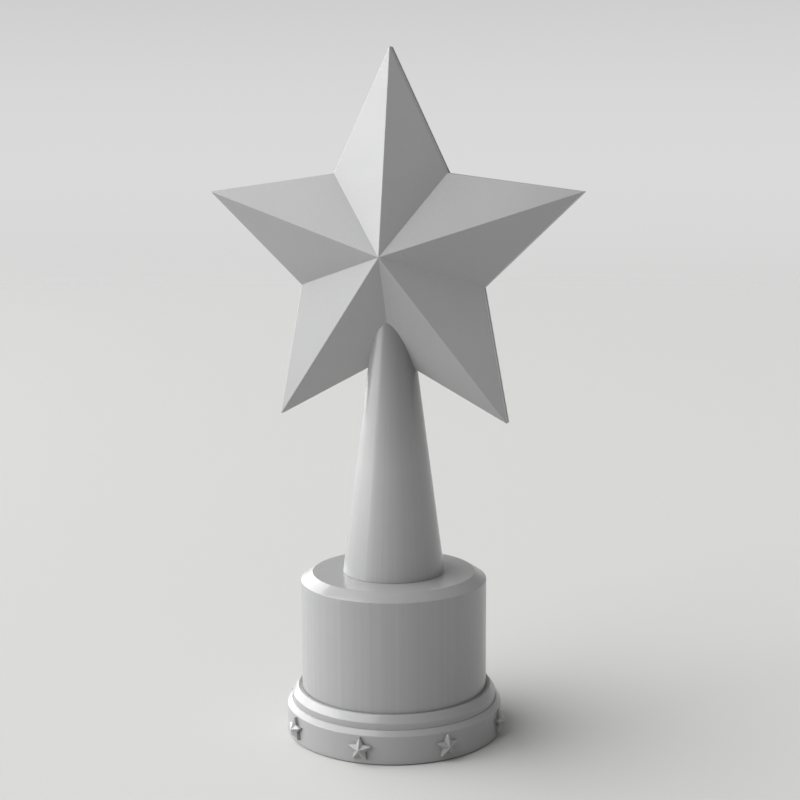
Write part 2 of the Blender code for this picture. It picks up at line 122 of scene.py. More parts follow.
def makeLacquer(name, streaks):
    look = lacquerLook
    material, tree = newMaterial(name)
    surface = addNode(tree, "ShaderNodeTexCoord").outputs
    place = surface["Object"]

    clouds = addNode(tree, "ShaderNodeTexNoise",
                     {"Vector": place, "Scale": 1 / look["cloudSize"], "Detail": 3.0})
    colour = addNode(tree, "ShaderNodeMix",
                     {0: clouds.outputs["Fac"], 6: linear(look["grey"]), 7: linear(look["cloudGrey"])},
                     data_type="RGBA")

    # crisp corners wear a touch lighter; corners between pieces get dust and painted shade, darkened by
    # ambient occlusion
    shape = addNode(tree, "ShaderNodeNewGeometry")
    corner = addNode(tree, "ShaderNodeMapRange",
                     {"Value": shape.outputs["Pointiness"], "From Min": look["cornerFrom"],
                      "From Max": look["cornerTo"], "To Min": 0.0, "To Max": look["cornerShare"]})
    colour = addNode(tree, "ShaderNodeMix",
                     {0: corner.outputs["Result"], 6: colour.outputs[2], 7: linear(look["edgeGrey"])},
                     data_type="RGBA")
    crevice = addNode(tree, "ShaderNodeAmbientOcclusion", {"Distance": look["creviceReach"]}, samples=6)
    dustAndShade = addNode(tree, "ShaderNodeMapRange",
                   {"Value": crevice.outputs["AO"], "From Min": look["creviceFrom"],
                    "From Max": look["creviceTo"], "To Min": look["creviceShare"], "To Max": 0.0})
    colour = addNode(tree, "ShaderNodeMix",
                     {0: dustAndShade.outputs["Result"], 6: colour.outputs[2], 7: linear(look["creviceDustShadeGrey"])},
                     data_type="RGBA")

    # painted shade: the broad valleys are darkened by ambient occlusion, standing for the shade that
    # falls there
    valley = addNode(tree, "ShaderNodeAmbientOcclusion", {"Distance": look["valleyReach"]},
                     samples=8, only_local=True)
    valleyShade = addNode(tree, "ShaderNodeMapRange",
                     {"Value": valley.outputs["AO"], "From Min": look["valleyFrom"], "From Max": 1.0,
                      "To Min": 1.0, "To Max": 0.0})
    colour = addNode(tree, "ShaderNodeMix",
                     {0: valleyShade.outputs["Result"], 6: colour.outputs[2], 7: linear(look["valleyShadeGrey"])},
                     data_type="RGBA")

    smears = addNode(tree, "ShaderNodeTexNoise",
                     {"Vector": place, "Scale": 1 / look["smearSize"], "Detail": 6.0,
                      "Roughness": 0.65, "Distortion": 0.6})
    gloss = addNode(tree, "ShaderNodeMapRange",
                    {"Value": smears.outputs["Fac"], "From Min": 0.3, "From Max": 0.7,
                     "To Min": look["smoothest"], "To Max": look["roughest"]})

    # bump: slow swell, then orange peel, then dust nibs
    swell = addNode(tree, "ShaderNodeTexNoise",
                    {"Vector": place, "Scale": 1 / look["swellSize"], "Detail": 1.0})
    bump = addNode(tree, "ShaderNodeBump",
                   {"Height": swell.outputs["Fac"], "Distance": look["swellHeight"]})
    peel = addNode(tree, "ShaderNodeTexNoise",
                   {"Vector": place, "Scale": 1 / look["peelSize"], "Detail": 2.0})
    bump = addNode(tree, "ShaderNodeBump",
                   {"Height": peel.outputs["Fac"], "Distance": look["peelHeight"],
                    "Normal": bump.outputs["Normal"]})
    nibs = addNode(tree, "ShaderNodeTexVoronoi",
                   {"Vector": place, "Scale": 1 / look["nibSpacing"], "Randomness": 1.0})
    nib = addNode(tree, "ShaderNodeMapRange",
                  {"Value": nibs.outputs["Distance"], "From Min": 0.0,
                   "From Max": look["nibSize"] / look["nibSpacing"], "To Min": 1.0, "To Max": 0.0})
    bump = addNode(tree, "ShaderNodeBump",
                   {"Height": nib.outputs["Result"], "Distance": look["nibHeight"],
                    "Normal": bump.outputs["Normal"]})

    base = colour.outputs[2]
    if streaks > 0:
        # the angle round Z, so that each streak runs up the piece however it tapers
        parts = addNode(tree, "ShaderNodeSeparateXYZ", {"Vector": place})
        # painted shade: the column grows darker towards its top, where the star above shades it
        low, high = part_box("column_shell")
        topShade = addNode(tree, "ShaderNodeMapRange",
                      {"Value": parts.outputs["Z"], "From Max": high.z,
                       "From Min": low.z + look["columnShadeFrom"] * (high.z - low.z)})
        shadedTop = addNode(tree, "ShaderNodeMix",
                         {0: topShade.outputs["Result"], 6: base, 7: linear(look["columnShadeGrey"])},
                         data_type="RGBA")
        angle = addNode(tree, "ShaderNodeMath", {0: parts.outputs["Y"], 1: parts.outputs["X"]},
                        operation="ARCTAN2")
        lines = addNode(tree, "ShaderNodeTexNoise",
                        {"W": angle.outputs["Value"], "Scale": look["streaksRound"] / math.tau,
                         "Detail": 5.0, "Roughness": 0.75}, noise_dimensions="1D")
        # the belt only runs on upright walls, so the streaks die out on a top
        facing = addNode(tree, "ShaderNodeSeparateXYZ", {"Vector": surface["Normal"]})
        level = addNode(tree, "ShaderNodeMath", {0: facing.outputs["Z"]}, operation="ABSOLUTE")
        weight = addNode(tree, "ShaderNodeMapRange",
                         {"Value": level.outputs["Value"], "From Min": look["streaksTo"],
                          "From Max": look["streaksGone"], "To Min": 2 * streaks, "To Max": 0.0})
        shade = addNode(tree, "ShaderNodeMath", {0: lines.outputs["Fac"], 1: 0.5}, operation="SUBTRACT")
        shade = addNode(tree, "ShaderNodeMath",
                        {0: shade.outputs["Value"], 1: weight.outputs["Result"], 2: 1.0},
                        operation="MULTIPLY_ADD")
        streaked = addNode(tree, "ShaderNodeHueSaturation",
                           {"Color": shadedTop.outputs[2], "Value": shade.outputs["Value"]})
        base = streaked.outputs["Color"]

    shader = addNode(tree, "ShaderNodeBsdfPrincipled",
                     {"Base Color": base, "Roughness": gloss.outputs["Result"], "IOR": 1.5,
                      "Coat Weight": look["clearCoat"], "Coat Roughness": 0.1, "Coat IOR": 1.5,
                      "Normal": bump.outputs["Normal"]})
    addNode(tree, "ShaderNodeOutputMaterial", {"Surface": shader.outputs["BSDF"]})
    return material


castLacquer = makeLacquer("satin_grey_lacquer_cast", 0.0)
turnedLacquer = makeLacquer("satin_grey_lacquer_turned", 0.11)

# Bright zinc plating on drawn steel: silvery with a faint blue cast and fine lines along the draw.
platingLook = {"bright": "#c9ccd1", "dull": "#9fa3a8", "patchSize": 6 * mm, "lineWidth": 0.25 * mm,
               "lineLength": 9 * mm, "lineHeight": 0.004 * mm, "smoothest": 0.22, "roughest": 0.42}


def makePlatedSteel():
    look = platingLook
    material, tree = newMaterial("zinc_plated_steel")
    place = addNode(tree, "ShaderNodeTexCoord").outputs["Object"]
    patches = addNode(tree, "ShaderNodeTexVoronoi",
                      {"Vector": place, "Scale": 1 / look["patchSize"], "Smoothness": 0.6},
                      feature="SMOOTH_F1")
    colour = addNode(tree, "ShaderNodeMix",
                     {0: patches.outputs["Distance"], 6: linear(look["bright"]),
                      7: linear(look["dull"])}, data_type="RGBA")
    drawn = addNode(tree, "ShaderNodeMapping",
                    {"Vector": place, "Scale": (1 / look["lineWidth"], 1 / look["lineWidth"],
                                                1 / look["lineLength"])})
    lines = addNode(tree, "ShaderNodeTexNoise", {"Vector": drawn.outputs["Vector"], "Scale": 1.0,
                                                 "Detail": 3.0})
    bump = addNode(tree, "ShaderNodeBump",
                   {"Height": lines.outputs["Fac"], "Distance": look["lineHeight"]})
    gloss = addNode(tree, "ShaderNodeMapRange",
                    {"Value": lines.outputs["Fac"], "From Min": 0.3, "From Max": 0.7,
                     "To Min": look["smoothest"], "To Max": look["roughest"]})
    shader = addNode(tree, "ShaderNodeBsdfPrincipled",
                     {"Base Color": colour.outputs[2], "Metallic": 1.0,
                      "Roughness": gloss.outputs["Result"], "Normal": bump.outputs["Normal"]})
    addNode(tree, "ShaderNodeOutputMaterial", {"Surface": shader.outputs["BSDF"]})
    return material


# Bare die-cast zinc: dull bluish grey, with flow marks from the die and a fine grain.
zincLook = {"light": "#9b9da1", "dark": "#7c7e83", "flowSize": 14 * mm, "grainSize": 0.5 * mm,
            "grainHeight": 0.015 * mm, "smoothest": 0.42, "roughest": 0.62}


def makeDieCastZinc():
    look = zincLook
    material, tree = newMaterial("die_cast_zinc")
    place = addNode(tree, "ShaderNodeTexCoord").outputs["Object"]
    flow = addNode(tree, "ShaderNodeTexNoise",
                   {"Vector": place, "Scale": 1 / look["flowSize"], "Detail": 5.0,
                    "Roughness": 0.6, "Distortion": 1.5})
    colour = addNode(tree, "ShaderNodeMix",
                     {0: flow.outputs["Fac"], 6: linear(look["light"]), 7: linear(look["dark"])},
                     data_type="RGBA")
    grain = addNode(tree, "ShaderNodeTexNoise",
                    {"Vector": place, "Scale": 1 / look["grainSize"], "Detail": 3.0})
    bump = addNode(tree, "ShaderNodeBump",
                   {"Height": grain.outputs["Fac"], "Distance": look["grainHeight"]})
    gloss = addNode(tree, "ShaderNodeMapRange",
                    {"Value": flow.outputs["Fac"], "From Min": 0.3, "From Max": 0.7,
                     "To Min": look["smoothest"], "To Max": look["roughest"]})
    shader = addNode(tree, "ShaderNodeBsdfPrincipled",
                     {"Base Color": colour.outputs[2], "Metallic": 1.0,
                      "Roughness": gloss.outputs["Result"], "Normal": bump.outputs["Normal"]})
    addNode(tree, "ShaderNodeOutputMaterial", {"Surface": shader.outputs["BSDF"]})
    return material


# Sand-cast iron, unpainted: dark and matt, pitted by the sand, browned where it has rusted.
ironLook = {"iron": "#4a4a4c", "rust": "#5b3d2c", "rustSize": 16 * mm, "sandSize": 1.1 * mm,
            "sandHeight": 0.09 * mm, "pitSize": 3.5 * mm, "pitHeight": 0.12 * mm}


def makeCastIron():
    look = ironLook
    material, tree = newMaterial("sand_cast_iron")
    place = addNode(tree, "ShaderNodeTexCoord").outputs["Object"]
    stain = addNode(tree, "ShaderNodeTexNoise",
                    {"Vector": place, "Scale": 1 / look["rustSize"], "Detail": 8.0, "Roughness": 0.7})
    rusted = addNode(tree, "ShaderNodeMapRange",
                     {"Value": stain.outputs["Fac"], "From Min": 0.52, "From Max": 0.68,
                      "To Min": 0.0, "To Max": 0.8})
    colour = addNode(tree, "ShaderNodeMix",
                     {0: rusted.outputs["Result"], 6: linear(look["iron"]), 7: linear(look["rust"])},
                     data_type="RGBA")
    bare = addNode(tree, "ShaderNodeMath", {0: 1.0, 1: rusted.outputs["Result"]}, operation="SUBTRACT")
    sand = addNode(tree, "ShaderNodeTexNoise",
                   {"Vector": place, "Scale": 1 / look["sandSize"], "Detail": 5.0, "Roughness": 0.7})
    bump = addNode(tree, "ShaderNodeBump",
                   {"Height": sand.outputs["Fac"], "Distance": look["sandHeight"]})
    pits = addNode(tree, "ShaderNodeTexVoronoi", {"Vector": place, "Scale": 1 / look["pitSize"]})
    bump = addNode(tree, "ShaderNodeBump",
                   {"Height": pits.outputs["Distance"], "Distance": look["pitHeight"],
                    "Normal": bump.outputs["Normal"]})
    rough = addNode(tree, "ShaderNodeMapRange",
                    {"Value": rusted.outputs["Result"], "To Min": 0.62, "To Max": 0.92})
    shader = addNode(tree, "ShaderNodeBsdfPrincipled",
                     {"Base Color": colour.outputs[2], "Metallic": bare.outputs["Value"],
                      "Roughness": rough.outputs["Result"], "Normal": bump.outputs["Normal"]})
    addNode(tree, "ShaderNodeOutputMaterial", {"Surface": shader.outputs["BSDF"]})
    return material


# Needle-punched wool felt: charcoal, matt, with a tangle of fine fibres and a soft bloom of fuzz.
feltLook = {"dark": "#2b2b2d", "light": "#4d4d50", "fibreSize": 0.55 * mm, "matSize": 5 * mm,
            "fibreHeight": 0.10 * mm}


def makeFelt():
    look = feltLook
    material, tree = newMaterial("charcoal_wool_felt")
    place = addNode(tree, "ShaderNodeTexCoord").outputs["Object"]
    fibres = addNode(tree, "ShaderNodeTexNoise",
                     {"Vector": place, "Scale": 1 / look["fibreSize"], "Detail": 4.0,
                      "Roughness": 0.75, "Distortion": 2.5})
    mats = addNode(tree, "ShaderNodeTexNoise",
                   {"Vector": place, "Scale": 1 / look["matSize"], "Detail": 4.0, "Distortion": 1.0})
    blend = addNode(tree, "ShaderNodeMath", {0: fibres.outputs["Fac"], 1: mats.outputs["Fac"]},
                    operation="MULTIPLY")
    mixed = addNode(tree, "ShaderNodeMapRange",
                    {"Value": blend.outputs["Value"], "From Min": 0.12, "From Max": 0.42})
    colour = addNode(tree, "ShaderNodeMix",
                     {0: mixed.outputs["Result"], 6: linear(look["dark"]), 7: linear(look["light"])},
                     data_type="RGBA")
    bump = addNode(tree, "ShaderNodeBump",
                   {"Height": fibres.outputs["Fac"], "Distance": look["fibreHeight"]})
    rough = addNode(tree, "ShaderNodeMapRange",
                    {"Value": mats.outputs["Fac"], "To Min": 0.88, "To Max": 1.0})
    shader = addNode(tree, "ShaderNodeBsdfPrincipled",
                     {"Base Color": colour.outputs[2], "Roughness": rough.outputs["Result"],
                      "Sheen Weight": 0.5, "Sheen Roughness": 0.5, "Normal": bump.outputs["Normal"]})
    addNode(tree, "ShaderNodeOutputMaterial", {"Surface": shader.outputs["BSDF"]})
    return material


platedSteel = makePlatedSteel()
dieCastZinc = makeDieCastZinc()
castIron = makeCastIron()
wool = makeFelt()
print("finishes made:", len(bpy.data.materials))


# the piece moves with the trophy and stands for these frame nodes
def dress(piece, slotName, *nodes):
    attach(piece, "root")
    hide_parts(*nodes)


def newObject(name, mesh):
    obj = bpy.data.objects.new(name, mesh)
    bpy.context.scene.collection.objects.link(obj)
    return obj


# the object's evaluated shape as a plain mesh, with no modifier left on it
def settle(obj):
    depsgraph = bpy.context.evaluated_depsgraph_get()
    mesh = bpy.data.meshes.new_from_object(obj.evaluated_get(depsgraph))
    obj.modifiers.clear()
    obj.data = mesh
    mesh.name = obj.name
    return mesh


# a profile's corners (radius, height, rounding) as points, with arcs at the rounded corners and
# evenly spaced points along the straights, so that shading stays true beside each arc
def roundedProfile(corners, closed, spacing, arcSteps=6):
    count = len(corners)
    points = []
    for i, (radius, height, rounding) in enumerate(corners):
        here = Vector((radius, height))
        isEnd = not closed and i in (0, count - 1)
        if isEnd or rounding == 0:
            points.append(here)
            continue
        toLast = (Vector(corners[i - 1][:2]) - here).normalized()
        toNext = (Vector(corners[(i + 1) % count][:2]) - here).normalized()
        half = toLast.angle(toNext) / 2
        centre = here + (toLast + toNext).normalized() * rounding / math.sin(half)
        start = here + toLast * rounding / math.tan(half) - centre
        sweep = start.angle_signed(here + toNext * rounding / math.tan(half) - centre)
        for step in range(arcSteps + 1):
            points.append(centre + Matrix.Rotation(-sweep * step / arcSteps, 2) @ start)
    spaced = []
    for i, point in enumerate(points):
        spaced.append(point)
        if closed or i < len(points) - 1:
            onward = points[(i + 1) % len(points)] - point
            pieces = math.ceil(onward.length / spacing)
            spaced += [point + onward * step / pieces for step in range(1, pieces)]
    return spaced


# a profile turned round Z into one closed skin
def turnedPiece(name, corners, material, closed=True, steps=192, spacing=2.5 * mm):
    points = roundedProfile(corners, closed, spacing)
    mesh = bpy.data.meshes.new(name)
    edges = [(i, i + 1) for i in range(len(points) - 1)]
    if closed:
        edges.append((len(points) - 1, 0))
    mesh.from_pydata([(point.x, 0.0, point.y) for point in points], edges, [])
    obj = newObject(name, mesh)
    turn = obj.modifiers.new("turn", "SCREW")
    turn.steps = turn.render_steps = steps
    turn.use_merge_vertices = True
    turn.merge_threshold = sameSpot
    turn.use_smooth_shade = True
    mesh = settle(obj)
    mesh.materials.clear()
    mesh.materials.append(material)
    bm = bmesh.new()
    bm.from_mesh(mesh)
    bmesh.ops.remove_doubles(bm, verts=bm.verts, dist=sameSpot)
    bmesh.ops.recalc_face_normals(bm, faces=bm.faces)
    bm.to_mesh(mesh)
    bm.free()
    return obj


# Geometry Nodes: a star outline raised into a pyramid on a thin rim, front and back alike,
# with a fine parting groove round the middle of the rim where the two castings meet.
starLook = {
    "points": 5,
    "valleyShare": 0.4909,       # valley radius over tip radius
    "rim": 2.4 * mm,             # half of the rim's thickness
    "grooveHalf": 0.16 * mm,
    "grooveDepth": 0.22 * mm,
    "detail": 5,
    "ridgeRound": 0.22 * mm,
    "cornerAngle": math.radians(12),     # edges that turn more than this are rounded
    "cornerSteps": 3,
    "weld": 0.02 * mm,
}


def addInputs(tree, sockets):
    for name, kind in sockets.items():
        tree.interface.new_socket(name, in_out="INPUT", socket_type=kind)
    tree.interface.new_socket("Mesh", in_out="OUTPUT", socket_type="NodeSocketGeometry")
    return addNode(tree, "NodeGroupInput").outputs


# a named input of a Geometry Nodes modifier, set by the socket's identifier
def setInput(modifier, name, value):
    for item in modifier.node_group.interface.items_tree:
        if item.in_out == "INPUT" and item.name == name:
            modifier[item.identifier] = value


def makeStarTree():
    tree = bpy.data.node_groups.new("star_solid", "GeometryNodeTree")
    given = addInputs(tree, {
        "Points": "NodeSocketInt", "Tip radius": "NodeSocketFloat", "Valley radius": "NodeSocketFloat",
        "Peak": "NodeSocketFloat", "Rim": "NodeSocketFloat", "Groove half": "NodeSocketFloat",
        "Groove scale": "NodeSocketFloat", "Detail": "NodeSocketInt", "Material": "NodeSocketMaterial"})
    outline = addNode(tree, "GeometryNodeCurveStar",
                      {"Points": given["Points"], "Outer Radius": given["Tip radius"],
                       "Inner Radius": given["Valley radius"]})

    # facets: the outline's edges drawn together at the peak
    edges = addNode(tree, "GeometryNodeCurveToMesh", {"Curve": outline.outputs["Curve"]})
    rimTop = addNode(tree, "ShaderNodeCombineXYZ", {"Z": given["Rim"]})
    raised = addNode(tree, "GeometryNodeTransform",
                     {"Geometry": edges.outputs["Mesh"], "Translation": rimTop.outputs["Vector"]})
    fan = addNode(tree, "GeometryNodeExtrudeMesh",
                  {"Mesh": raised.outputs["Geometry"], "Offset Scale": given["Rim"]}, mode="EDGES")
    peak = addNode(tree, "ShaderNodeCombineXYZ", {"Z": given["Peak"]})
    drawn = addNode(tree, "GeometryNodeSetPosition",
                    {"Geometry": fan.outputs["Mesh"], "Selection": fan.outputs["Top"],
                     "Position": peak.outputs["Vector"]})
    pyramid = addNode(tree, "GeometryNodeMergeByDistance",
                      {"Geometry": drawn.outputs["Geometry"], "Distance": starLook["weld"]})
    facets = addNode(tree, "GeometryNodeSubdivideMesh",
                     {"Mesh": pyramid.outputs["Geometry"], "Level": given["Detail"]})

    # rim: the same outline, cut as finely as the facets, from the groove up to them
    cuts = addNode(tree, "ShaderNodeMath", {0: 2.0, 1: given["Detail"]}, operation="POWER")
    between = addNode(tree, "ShaderNodeMath", {0: cuts.outputs["Value"], 1: 1.0}, operation="SUBTRACT")
    fine = addNode(tree, "GeometryNodeSubdivideCurve",
                   {"Curve": outline.outputs["Curve"], "Cuts": between.outputs["Value"]})
    loop = addNode(tree, "GeometryNodeCurveToMesh", {"Curve": fine.outputs["Curve"]})
    shrink = addNode(tree, "ShaderNodeCombineXYZ",
                     {"X": given["Groove scale"], "Y": given["Groove scale"], "Z": 1.0})
    bottom = addNode(tree, "GeometryNodeTransform",
                     {"Geometry": loop.outputs["Mesh"], "Scale": shrink.outputs["Vector"]})
    up = addNode(tree, "ShaderNodeCombineXYZ", {"Z": 1.0})
    side = addNode(tree, "GeometryNodeExtrudeMesh",
                   {"Mesh": bottom.outputs["Geometry"], "Offset": up.outputs["Vector"],
                    "Offset Scale": given["Groove half"]}, mode="EDGES")
    place = addNode(tree, "GeometryNodeInputPosition")
    grow = addNode(tree, "ShaderNodeVectorMath",
                   {0: place.outputs["Position"], 1: shrink.outputs["Vector"]}, operation="DIVIDE")
    flared = addNode(tree, "GeometryNodeSetPosition",
                     {"Geometry": side.outputs["Mesh"], "Selection": side.outputs["Top"],
                      "Position": grow.outputs["Vector"]})
    rise = addNode(tree, "ShaderNodeMath", {0: given["Rim"], 1: given["Groove half"]},
                   operation="SUBTRACT")
    wall = addNode(tree, "GeometryNodeExtrudeMesh",
                   {"Mesh": flared.outputs["Geometry"], "Selection": side.outputs["Top"],
                    "Offset": up.outputs["Vector"], "Offset Scale": rise.outputs["Value"]},
                   mode="EDGES")

    # the front half and its mirror image, welded into one skin
    half = addNode(tree, "GeometryNodeJoinGeometry")
    tree.links.new(facets.outputs["Mesh"], half.inputs["Geometry"])
    tree.links.new(wall.outputs["Mesh"], half.inputs["Geometry"])
    mirrored = addNode(tree, "GeometryNodeTransform",
                       {"Geometry": half.outputs["Geometry"], "Scale": (1.0, 1.0, -1.0)})
    outward = addNode(tree, "GeometryNodeFlipFaces", {"Mesh": half.outputs["Geometry"]})
    both = addNode(tree, "GeometryNodeJoinGeometry")
    tree.links.new(outward.outputs["Mesh"], both.inputs["Geometry"])
    tree.links.new(mirrored.outputs["Geometry"], both.inputs["Geometry"])
    welded = addNode(tree, "GeometryNodeMergeByDistance",
                     {"Geometry": both.outputs["Geometry"], "Distance": starLook["weld"]})

    # corners outside the groove are marked for rounding
    angle = addNode(tree, "GeometryNodeInputMeshEdgeAngle")
    corner = addNode(tree, "FunctionNodeCompare",
                     {"A": angle.outputs["Unsigned Angle"], "B": starLook["cornerAngle"]},
                     operation="GREATER_THAN")
    height = addNode(tree, "ShaderNodeSeparateXYZ", {"Vector": place.outputs["Position"]})
    away = addNode(tree, "ShaderNodeMath", {0: height.outputs["Z"]}, operation="ABSOLUTE")
    clear = addNode(tree, "ShaderNodeMath", {0: given["Groove half"], 1: 1.1}, operation="MULTIPLY")
    outside = addNode(tree, "FunctionNodeCompare",
                      {"A": away.outputs["Value"], "B": clear.outputs["Value"]},
                      operation="GREATER_THAN")
    rounded = addNode(tree, "FunctionNodeBooleanMath",
                      {0: corner.outputs["Result"], 1: outside.outputs["Result"]}, operation="AND")
    marked = addNode(tree, "GeometryNodeStoreNamedAttribute",
                     {"Geometry": welded.outputs["Geometry"], "Name": "bevel_weight_edge",
                      "Value": rounded.outputs["Boolean"]}, data_type="FLOAT", domain="EDGE")
    solid = addNode(tree, "GeometryNodeRealizeInstances", {"Geometry": marked.outputs["Geometry"]})
    painted = addNode(tree, "GeometryNodeSetMaterial",
                      {"Geometry": solid.outputs["Geometry"], "Material": given["Material"]})
    addNode(tree, "NodeGroupOutput", {"Mesh": painted.outputs["Geometry"]})
    return tree


starTree = makeStarTree()


# a star lying in the XY plane, its first tip along +X, with every corner rounded a little
def shapeStar(obj, sizes, rounding):
    shape = obj.modifiers.new("star", "NODES")
    shape.node_group = starTree
    for name, value in sizes.items():
        setInput(shape, name, value)
    setInput(shape, "Material", castLacquer)
    soften = obj.modifiers.new("soften", "BEVEL")
    soften.limit_method = "WEIGHT"
    soften.width = rounding
    soften.segments = starLook["cornerSteps"]
    soften.loop_slide = False    # keeps the rounding even past every cut in the facets
    soften.harden_normals = True
    return settle(obj)


def makeStar():
    look = starLook
    frontLow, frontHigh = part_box("star_front_shell")
    tipRadius = frontHigh.x / math.sin(math.tau / look["points"])
    valleyRadius = tipRadius * look["valleyShare"]
    centre = Vector((0.0, 0.0, frontHigh.z - tipRadius))
    step = math.pi / look["points"]
    tip = Vector((tipRadius, 0.0))
    valley = Matrix.Rotation(step, 2) @ Vector((valleyRadius, 0.0))
    edgeReach = tipRadius * valleyRadius * math.sin(step) / (tip - valley).length   # from the centre
    star = newObject("star_body", bpy.data.meshes.new("star_body"))
    mesh = shapeStar(star, {
        "Points": look["points"], "Tip radius": tipRadius, "Valley radius": valleyRadius,
        "Peak": -frontLow.y, "Rim": look["rim"], "Groove half": look["grooveHalf"],
        "Groove scale": 1 - look["grooveDepth"] / edgeReach, "Detail": look["detail"]},
        look["ridgeRound"])
    mesh.transform(Matrix.Rotation(-math.pi / 2, 4, "Y"))   # the first tip from +X up to +Z
    mesh.transform(Matrix.Rotation(math.pi / 2, 4, "Z"))
    mesh.transform(Matrix.Translation(centre))
    dress(star, "lacquer", "star_front_shell", "star_rear_shell")


makeStar()
print("star made")


# Each ring or cone is turned from its section. Sizes come from the frame's boxes, and the
# dictionary holds what the boxes can't tell.
turnedLook = {
    "sunk": 0.4 * mm,                # how far one piece runs into the next, behind the joint
    "columnTopRadius": 7.45 * mm,
    "columnWall": 1.8 * mm,
    "cornerRound": 0.35 * mm,
    "jointRound": 0.12 * mm,         # leaves a hairline groove where two pieces meet
    "drumTopRadius": 36.1 * mm,
    "drumBevelDrop": 3.25 * mm,
    "drumWall": 3.25 * mm,
    "drumTopThickness": 3.0 * mm,
    "drumHole": 12.3 * mm,           # under the column, for the bush's spigot
    "collarTopRadius": 43.2 * mm,
    "collarBevelDrop": 3.1 * mm,
    "collarRound": 0.7 * mm,
    "bandTopRadius": 46.0 * mm,
    "bandBevelDrop": 1.6 * mm,
    "bandRound": 0.6 * mm,
    "bandBore": 30.0 * mm,
    "skirtRadius": 46.0 * mm,
}


def makeColumn():
    look = turnedLook
    low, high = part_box("column_shell")
    foot = low.z - look["sunk"]
    wall = look["columnWall"]
    column = turnedPiece("column_skin", [
        (look["columnTopRadius"], high.z, 0), (high.x, low.z, 0), (high.x, foot, 0),
        (high.x - wall, foot, 0), (look["columnTopRadius"] - wall, high.z, 0)], turnedLacquer)
    dress(column, "lacquer", "column_shell")


def makeDrum():
    look = turnedLook
    low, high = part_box("drum_shell")
    inner = high.x - look["drumWall"]
    ceiling = high.z - look["drumTopThickness"]
    hole = look["drumHole"]
    drum = turnedPiece("drum_skin", [
        (hole, high.z, 0), (look["drumTopRadius"], high.z, look["cornerRound"]),
        (high.x, high.z - look["drumBevelDrop"], look["cornerRound"]), (high.x, low.z, 0),
        (inner, low.z, 0), (inner, ceiling, 0), (hole, ceiling, 0)], turnedLacquer)
    dress(drum, "lacquer", "drum_shell")


def makeCollar():
    look = turnedLook
    low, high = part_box("base_collar")
    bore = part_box("drum_shell")[1].x - look["sunk"]
    collar = turnedPiece("collar_ring", [
        (bore, high.z, 0), (look["collarTopRadius"], high.z, look["collarRound"]),
        (high.x, high.z - look["collarBevelDrop"], look["collarRound"]),
        (high.x, low.z, look["jointRound"]), (bore, low.z, 0)], castLacquer)
    dress(collar, "lacquer", "base_collar")


def makeBand():
    look = turnedLook
    low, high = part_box("base_band")
    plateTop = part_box("base_plate")[1].z + look["sunk"]
    band = turnedPiece("base_ring", [
        (look["bandBore"], high.z + look["sunk"], 0),
        (look["bandTopRadius"], high.z + look["sunk"], look["bandRound"]),
        (high.x, high.z - look["bandBevelDrop"], look["bandRound"]),
        (high.x, low.z, look["cornerRound"]), (look["skirtRadius"], low.z, 0),
        (look["skirtRadius"], plateTop, 0), (look["bandBore"], plateTop, 0)], castLacquer)
    dress(band, "lacquer", "base_band")


makeColumn()
makeDrum()
makeCollar()
makeBand()
print("column, drum and rings made")


# Geometry Nodes: one small star stood up on its edge and set round the band at equal steps.
badgeLook = {
    "count": 8,
    "points": 5,
    "tipRadius": 5.3 * mm,
    "valleyRadius": 2.7 * mm,
    "peak": 2.9 * mm,
    "rim": 1.0 * mm,
    "detail": 3,
    "round": 0.10 * mm,
}


def makeRingTree():
    tree = bpy.data.node_groups.new("badges_round_the_band", "GeometryNodeTree")
    given = addInputs(tree, {
        "Badge": "NodeSocketObject", "Count": "NodeSocketInt", "Radius": "NodeSocketFloat",
        "Height": "NodeSocketFloat", "Material": "NodeSocketMaterial"})
    badge = addNode(tree, "GeometryNodeObjectInfo", {"Object": given["Badge"]})
    circle = addNode(tree, "GeometryNodeMeshCircle",
                     {"Vertices": given["Count"], "Radius": given["Radius"]})
    lift = addNode(tree, "ShaderNodeCombineXYZ", {"Z": given["Height"]})
    raised = addNode(tree, "GeometryNodeTransform",
                     {"Geometry": circle.outputs["Mesh"], "Translation": lift.outputs["Vector"]})
    place = addNode(tree, "GeometryNodeInputPosition")
    outward = addNode(tree, "ShaderNodeVectorMath",
                      {0: place.outputs["Position"], 1: (1.0, 1.0, 0.0)}, operation="MULTIPLY")
    stand = addNode(tree, "FunctionNodeAxesToRotation",
                    {"Primary Axis": outward.outputs["Vector"], "Secondary Axis": (0.0, 0.0, 1.0)},
                    primary_axis="Z", secondary_axis="X")
    copies = addNode(tree, "GeometryNodeInstanceOnPoints",
                     {"Points": raised.outputs["Geometry"], "Instance": badge.outputs["Geometry"],
                      "Rotation": stand.outputs["Rotation"]})
    solid = addNode(tree, "GeometryNodeRealizeInstances", {"Geometry": copies.outputs["Instances"]})
    painted = addNode(tree, "GeometryNodeSetMaterial",
                      {"Geometry": solid.outputs["Geometry"], "Material": given["Material"]})
    addNode(tree, "NodeGroupOutput", {"Mesh": painted.outputs["Geometry"]})
    return tree


